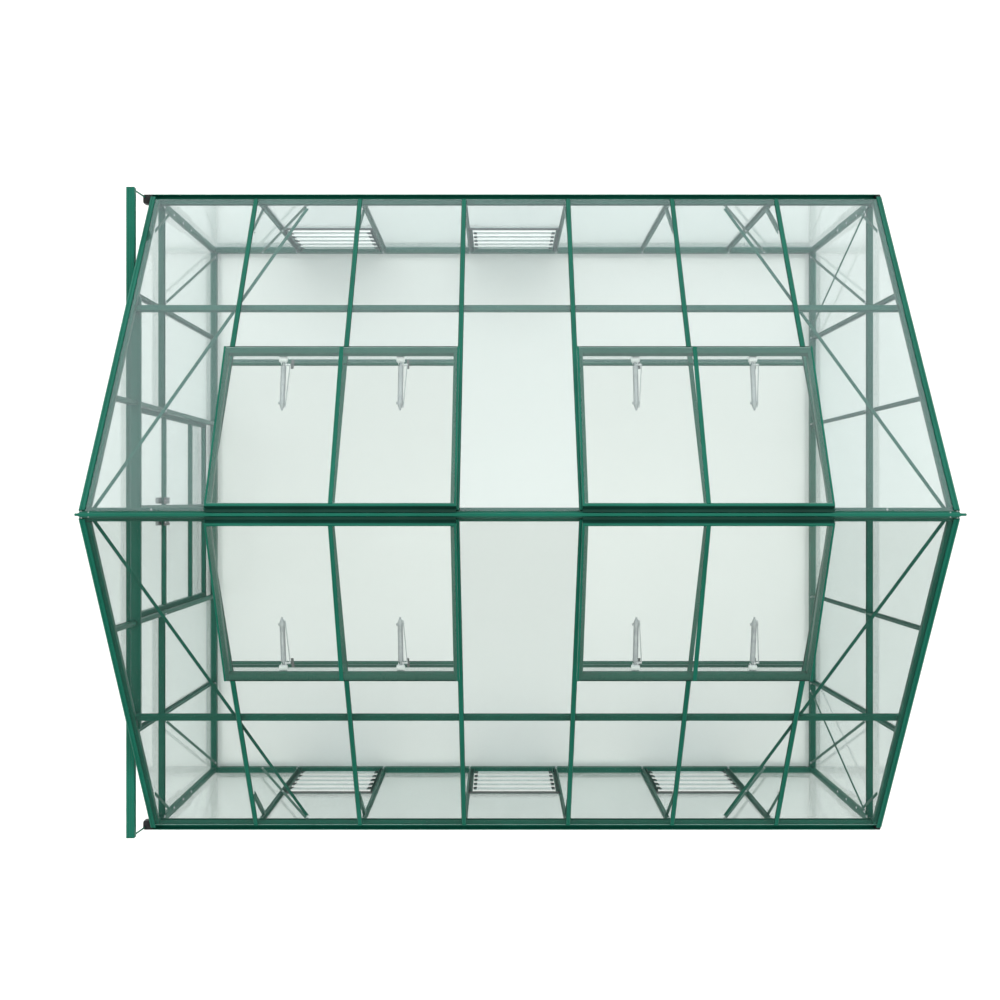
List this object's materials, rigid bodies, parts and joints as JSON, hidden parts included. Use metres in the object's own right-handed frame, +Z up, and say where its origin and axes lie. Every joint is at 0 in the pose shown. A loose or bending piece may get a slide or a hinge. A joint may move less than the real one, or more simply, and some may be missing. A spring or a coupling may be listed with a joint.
{
  "type": "greenhouse",
  "caption": "Apex-roof aluminium and glass greenhouse with sliding double doors, hinged roof vents with cylinder openers, louvre side windows and eaves gutters.",
  "frame": {"origin": "middle of the object's box, on the ground under the base frame", "axes": "+X along the ridge, away from the doors; +Y across the house; +Z up"},
  "size_m": [4.536, 3.86, 2.859],
  "materials": {
    "green_frame": "green powder coat, satin",
    "clear_glass": "clear, polished",
    "silver_opener": "anodised silver, satin",
    "grey_plastic": "satin dark grey"
  },
  "bodies": {
    "house": {"base_frame": "green_frame", "door_gable_frame": "green_frame", "far_gable_frame": "green_frame", "south_wall_frame": "green_frame", "north_wall_frame": "green_frame", "south_gutter": "green_frame", "north_gutter": "green_frame", "ridge_bar": "green_frame", "south_roof_frame": "green_frame", "north_roof_frame": "green_frame", "door_track": "green_frame", "south_wall_glass": "clear_glass", "north_wall_glass": "clear_glass", "door_gable_glass": "clear_glass", "far_gable_glass": "clear_glass", "south_roof_glass": "clear_glass", "north_roof_glass": "clear_glass"},
    "north_door": {"north_door_frame": "green_frame", "north_door_glass": "clear_glass", "north_door_handle": "grey_plastic"},
    "south_door": {"south_door_frame": "green_frame", "south_door_glass": "clear_glass", "south_door_handle": "grey_plastic"},
    "north_west_vent": {"north_west_vent": "green_frame"},
    "north_west_vent_opener_1": {"north_west_vent_opener_1": "silver_opener"},
    "north_west_vent_opener_2": {"north_west_vent_opener_2": "silver_opener"},
    "north_east_vent": {"north_east_vent": "green_frame"},
    "north_east_vent_opener_1": {"north_east_vent_opener_1": "silver_opener"},
    "north_east_vent_opener_2": {"north_east_vent_opener_2": "silver_opener"},
    "south_west_vent": {"south_west_vent": "green_frame"},
    "south_west_vent_opener_1": {"south_west_vent_opener_1": "silver_opener"},
    "south_west_vent_opener_2": {"south_west_vent_opener_2": "silver_opener"},
    "south_east_vent": {"south_east_vent": "green_frame"},
    "south_east_vent_opener_1": {"south_east_vent_opener_1": "silver_opener"},
    "south_east_vent_opener_2": {"south_east_vent_opener_2": "silver_opener"},
    "south_louvre_1_blade_1": {"south_louvre_1_blade_1": "clear_glass"},
    "south_louvre_1_blade_2": {"south_louvre_1_blade_2": "clear_glass"},
    "south_louvre_1_blade_3": {"south_louvre_1_blade_3": "clear_glass"},
    "south_louvre_1_blade_4": {"south_louvre_1_blade_4": "clear_glass"},
    "south_louvre_1_blade_5": {"south_louvre_1_blade_5": "clear_glass"},
    "south_louvre_3_blade_1": {"south_louvre_3_blade_1": "clear_glass"},
    "south_louvre_3_blade_2": {"south_louvre_3_blade_2": "clear_glass"},
    "south_louvre_3_blade_3": {"south_louvre_3_blade_3": "clear_glass"},
    "south_louvre_3_blade_4": {"south_louvre_3_blade_4": "clear_glass"},
    "south_louvre_3_blade_5": {"south_louvre_3_blade_5": "clear_glass"},
    "south_louvre_5_blade_1": {"south_louvre_5_blade_1": "clear_glass"},
    "south_louvre_5_blade_2": {"south_louvre_5_blade_2": "clear_glass"},
    "south_louvre_5_blade_3": {"south_louvre_5_blade_3": "clear_glass"},
    "south_louvre_5_blade_4": {"south_louvre_5_blade_4": "clear_glass"},
    "south_louvre_5_blade_5": {"south_louvre_5_blade_5": "clear_glass"},
    "north_louvre_1_blade_1": {"north_louvre_1_blade_1": "clear_glass"},
    "north_louvre_1_blade_2": {"north_louvre_1_blade_2": "clear_glass"},
    "north_louvre_1_blade_3": {"north_louvre_1_blade_3": "clear_glass"},
    "north_louvre_1_blade_4": {"north_louvre_1_blade_4": "clear_glass"},
    "north_louvre_1_blade_5": {"north_louvre_1_blade_5": "clear_glass"},
    "north_louvre_3_blade_1": {"north_louvre_3_blade_1": "clear_glass"},
    "north_louvre_3_blade_2": {"north_louvre_3_blade_2": "clear_glass"},
    "north_louvre_3_blade_3": {"north_louvre_3_blade_3": "clear_glass"},
    "north_louvre_3_blade_4": {"north_louvre_3_blade_4": "clear_glass"},
    "north_louvre_3_blade_5": {"north_louvre_3_blade_5": "clear_glass"}
  },
  "joints": [
    {"name": "north_door_slide", "type": "slide", "parent": "house", "child": "north_door", "axis": [0, 1, 0], "range_m": [0, 0.6]},
    {"name": "south_door_slide", "type": "slide", "parent": "house", "child": "south_door", "axis": [0, -1, 0], "range_m": [0, 0.6]},
    {"name": "north_west_vent_hinge", "type": "hinge", "parent": "house", "child": "north_west_vent", "pos_m": [-0.913, 0.02, 2.838], "axis": [1, 0, 0], "range_deg": [-6, 24]},
    {"name": "north_west_vent_opener_1_pivot", "type": "hinge", "parent": "north_west_vent", "child": "north_west_vent_opener_1", "pos_m": [-1.228, 0.81459, 2.38287], "axis": [1, 0, 0], "range_deg": [-12, 46]},
    {"name": "north_west_vent_opener_2_pivot", "type": "hinge", "parent": "north_west_vent", "child": "north_west_vent_opener_2", "pos_m": [-0.598, 0.81459, 2.38287], "axis": [1, 0, 0], "range_deg": [-12, 46]},
    {"name": "north_east_vent_hinge", "type": "hinge", "parent": "house", "child": "north_east_vent", "pos_m": [0.977, 0.02, 2.838], "axis": [1, 0, 0], "range_deg": [-6, 24]},
    {"name": "north_east_vent_opener_1_pivot", "type": "hinge", "parent": "north_east_vent", "child": "north_east_vent_opener_1", "pos_m": [0.662, 0.81459, 2.38287], "axis": [1, 0, 0], "range_deg": [-12, 46]},
    {"name": "north_east_vent_opener_2_pivot", "type": "hinge", "parent": "north_east_vent", "child": "north_east_vent_opener_2", "pos_m": [1.292, 0.81459, 2.38287], "axis": [1, 0, 0], "range_deg": [-12, 46]},
    {"name": "south_west_vent_hinge", "type": "hinge", "parent": "house", "child": "south_west_vent", "pos_m": [-0.913, -0.02, 2.838], "axis": [-1, 0, 0], "range_deg": [-6, 24]},
    {"name": "south_west_vent_opener_1_pivot", "type": "hinge", "parent": "south_west_vent", "child": "south_west_vent_opener_1", "pos_m": [-0.598, -0.81459, 2.38287], "axis": [-1, 0, 0], "range_deg": [-12, 46]},
    {"name": "south_west_vent_opener_2_pivot", "type": "hinge", "parent": "south_west_vent", "child": "south_west_vent_opener_2", "pos_m": [-1.228, -0.81459, 2.38287], "axis": [-1, 0, 0], "range_deg": [-12, 46]},
    {"name": "south_east_vent_hinge", "type": "hinge", "parent": "house", "child": "south_east_vent", "pos_m": [0.977, -0.02, 2.838], "axis": [-1, 0, 0], "range_deg": [-6, 24]},
    {"name": "south_east_vent_opener_1_pivot", "type": "hinge", "parent": "south_east_vent", "child": "south_east_vent_opener_1", "pos_m": [1.292, -0.81459, 2.38287], "axis": [-1, 0, 0], "range_deg": [-12, 46]},
    {"name": "south_east_vent_opener_2_pivot", "type": "hinge", "parent": "south_east_vent", "child": "south_east_vent_opener_2", "pos_m": [0.662, -0.81459, 2.38287], "axis": [-1, 0, 0], "range_deg": [-12, 46]},
    {"name": "south_louvre_1_blade_1_pivot", "type": "hinge", "parent": "house", "child": "south_louvre_1_blade_1", "pos_m": [-1.228, -1.90095, 0.1245], "axis": [-1, 0, 0], "range_deg": [0, 80]},
    {"name": "south_louvre_1_blade_2_pivot", "type": "hinge", "parent": "house", "child": "south_louvre_1_blade_2", "pos_m": [-1.228, -1.90095, 0.2445], "axis": [-1, 0, 0], "range_deg": [0, 80]},
    {"name": "south_louvre_1_blade_3_pivot", "type": "hinge", "parent": "house", "child": "south_louvre_1_blade_3", "pos_m": [-1.228, -1.90095, 0.3645], "axis": [-1, 0, 0], "range_deg": [0, 80]},
    {"name": "south_louvre_1_blade_4_pivot", "type": "hinge", "parent": "house", "child": "south_louvre_1_blade_4", "pos_m": [-1.228, -1.90095, 0.4845], "axis": [-1, 0, 0], "range_deg": [0, 80]},
    {"name": "south_louvre_1_blade_5_pivot", "type": "hinge", "parent": "house", "child": "south_louvre_1_blade_5", "pos_m": [-1.228, -1.90095, 0.6045], "axis": [-1, 0, 0], "range_deg": [0, 80]},
    {"name": "south_louvre_3_blade_1_pivot", "type": "hinge", "parent": "house", "child": "south_louvre_3_blade_1", "pos_m": [0.032, -1.90095, 0.1245], "axis": [-1, 0, 0], "range_deg": [0, 80]},
    {"name": "south_louvre_3_blade_2_pivot", "type": "hinge", "parent": "house", "child": "south_louvre_3_blade_2", "pos_m": [0.032, -1.90095, 0.2445], "axis": [-1, 0, 0], "range_deg": [0, 80]},
    {"name": "south_louvre_3_blade_3_pivot", "type": "hinge", "parent": "house", "child": "south_louvre_3_blade_3", "pos_m": [0.032, -1.90095, 0.3645], "axis": [-1, 0, 0], "range_deg": [0, 80]},
    {"name": "south_louvre_3_blade_4_pivot", "type": "hinge", "parent": "house", "child": "south_louvre_3_blade_4", "pos_m": [0.032, -1.90095, 0.4845], "axis": [-1, 0, 0], "range_deg": [0, 80]},
    {"name": "south_louvre_3_blade_5_pivot", "type": "hinge", "parent": "house", "child": "south_louvre_3_blade_5", "pos_m": [0.032, -1.90095, 0.6045], "axis": [-1, 0, 0], "range_deg": [0, 80]},
    {"name": "south_louvre_5_blade_1_pivot", "type": "hinge", "parent": "house", "child": "south_louvre_5_blade_1", "pos_m": [1.292, -1.90095, 0.1245], "axis": [-1, 0, 0], "range_deg": [0, 80]},
    {"name": "south_louvre_5_blade_2_pivot", "type": "hinge", "parent": "house", "child": "south_louvre_5_blade_2", "pos_m": [1.292, -1.90095, 0.2445], "axis": [-1, 0, 0], "range_deg": [0, 80]},
    {"name": "south_louvre_5_blade_3_pivot", "type": "hinge", "parent": "house", "child": "south_louvre_5_blade_3", "pos_m": [1.292, -1.90095, 0.3645], "axis": [-1, 0, 0], "range_deg": [0, 80]},
    {"name": "south_louvre_5_blade_4_pivot", "type": "hinge", "parent": "house", "child": "south_louvre_5_blade_4", "pos_m": [1.292, -1.90095, 0.4845], "axis": [-1, 0, 0], "range_deg": [0, 80]},
    {"name": "south_louvre_5_blade_5_pivot", "type": "hinge", "parent": "house", "child": "south_louvre_5_blade_5", "pos_m": [1.292, -1.90095, 0.6045], "axis": [-1, 0, 0], "range_deg": [0, 80]},
    {"name": "north_louvre_1_blade_1_pivot", "type": "hinge", "parent": "house", "child": "north_louvre_1_blade_1", "pos_m": [-1.228, 1.90095, 0.1245], "axis": [1, 0, 0], "range_deg": [0, 80]},
    {"name": "north_louvre_1_blade_2_pivot", "type": "hinge", "parent": "house", "child": "north_louvre_1_blade_2", "pos_m": [-1.228, 1.90095, 0.2445], "axis": [1, 0, 0], "range_deg": [0, 80]},
    {"name": "north_louvre_1_blade_3_pivot", "type": "hinge", "parent": "house", "child": "north_louvre_1_blade_3", "pos_m": [-1.228, 1.90095, 0.3645], "axis": [1, 0, 0], "range_deg": [0, 80]},
    {"name": "north_louvre_1_blade_4_pivot", "type": "hinge", "parent": "house", "child": "north_louvre_1_blade_4", "pos_m": [-1.228, 1.90095, 0.4845], "axis": [1, 0, 0], "range_deg": [0, 80]},
    {"name": "north_louvre_1_blade_5_pivot", "type": "hinge", "parent": "house", "child": "north_louvre_1_blade_5", "pos_m": [-1.228, 1.90095, 0.6045], "axis": [1, 0, 0], "range_deg": [0, 80]},
    {"name": "north_louvre_3_blade_1_pivot", "type": "hinge", "parent": "house", "child": "north_louvre_3_blade_1", "pos_m": [0.032, 1.90095, 0.1245], "axis": [1, 0, 0], "range_deg": [0, 80]},
    {"name": "north_louvre_3_blade_2_pivot", "type": "hinge", "parent": "house", "child": "north_louvre_3_blade_2", "pos_m": [0.032, 1.90095, 0.2445], "axis": [1, 0, 0], "range_deg": [0, 80]},
    {"name": "north_louvre_3_blade_3_pivot", "type": "hinge", "parent": "house", "child": "north_louvre_3_blade_3", "pos_m": [0.032, 1.90095, 0.3645], "axis": [1, 0, 0], "range_deg": [0, 80]},
    {"name": "north_louvre_3_blade_4_pivot", "type": "hinge", "parent": "house", "child": "north_louvre_3_blade_4", "pos_m": [0.032, 1.90095, 0.4845], "axis": [1, 0, 0], "range_deg": [0, 80]},
    {"name": "north_louvre_3_blade_5_pivot", "type": "hinge", "parent": "house", "child": "north_louvre_3_blade_5", "pos_m": [0.032, 1.90095, 0.6045], "axis": [1, 0, 0], "range_deg": [0, 80]}
  ],
  "couplings": [
    {"joint": "north_west_vent_opener_1_pivot", "follows": "north_west_vent_hinge", "ratio": 1.9},
    {"joint": "north_west_vent_opener_2_pivot", "follows": "north_west_vent_hinge", "ratio": 1.9},
    {"joint": "north_east_vent_opener_1_pivot", "follows": "north_east_vent_hinge", "ratio": 1.9},
    {"joint": "north_east_vent_opener_2_pivot", "follows": "north_east_vent_hinge", "ratio": 1.9},
    {"joint": "south_west_vent_opener_1_pivot", "follows": "south_west_vent_hinge", "ratio": 1.9},
    {"joint": "south_west_vent_opener_2_pivot", "follows": "south_west_vent_hinge", "ratio": 1.9},
    {"joint": "south_east_vent_opener_1_pivot", "follows": "south_east_vent_hinge", "ratio": 1.9},
    {"joint": "south_east_vent_opener_2_pivot", "follows": "south_east_vent_hinge", "ratio": 1.9},
    {"joint": "south_louvre_1_blade_2_pivot", "follows": "south_louvre_1_blade_1_pivot", "ratio": 1},
    {"joint": "south_louvre_1_blade_3_pivot", "follows": "south_louvre_1_blade_1_pivot", "ratio": 1},
    {"joint": "south_louvre_1_blade_4_pivot", "follows": "south_louvre_1_blade_1_pivot", "ratio": 1},
    {"joint": "south_louvre_1_blade_5_pivot", "follows": "south_louvre_1_blade_1_pivot", "ratio": 1},
    {"joint": "south_louvre_3_blade_2_pivot", "follows": "south_louvre_3_blade_1_pivot", "ratio": 1},
    {"joint": "south_louvre_3_blade_3_pivot", "follows": "south_louvre_3_blade_1_pivot", "ratio": 1},
    {"joint": "south_louvre_3_blade_4_pivot", "follows": "south_louvre_3_blade_1_pivot", "ratio": 1},
    {"joint": "south_louvre_3_blade_5_pivot", "follows": "south_louvre_3_blade_1_pivot", "ratio": 1},
    {"joint": "south_louvre_5_blade_2_pivot", "follows": "south_louvre_5_blade_1_pivot", "ratio": 1},
    {"joint": "south_louvre_5_blade_3_pivot", "follows": "south_louvre_5_blade_1_pivot", "ratio": 1},
    {"joint": "south_louvre_5_blade_4_pivot", "follows": "south_louvre_5_blade_1_pivot", "ratio": 1},
    {"joint": "south_louvre_5_blade_5_pivot", "follows": "south_louvre_5_blade_1_pivot", "ratio": 1},
    {"joint": "north_louvre_1_blade_2_pivot", "follows": "north_louvre_1_blade_1_pivot", "ratio": 1},
    {"joint": "north_louvre_1_blade_3_pivot", "follows": "north_louvre_1_blade_1_pivot", "ratio": 1},
    {"joint": "north_louvre_1_blade_4_pivot", "follows": "north_louvre_1_blade_1_pivot", "ratio": 1},
    {"joint": "north_louvre_1_blade_5_pivot", "follows": "north_louvre_1_blade_1_pivot", "ratio": 1},
    {"joint": "north_louvre_3_blade_2_pivot", "follows": "north_louvre_3_blade_1_pivot", "ratio": 1},
    {"joint": "north_louvre_3_blade_3_pivot", "follows": "north_louvre_3_blade_1_pivot", "ratio": 1},
    {"joint": "north_louvre_3_blade_4_pivot", "follows": "north_louvre_3_blade_1_pivot", "ratio": 1},
    {"joint": "north_louvre_3_blade_5_pivot", "follows": "north_louvre_3_blade_1_pivot", "ratio": 1}
  ]
}
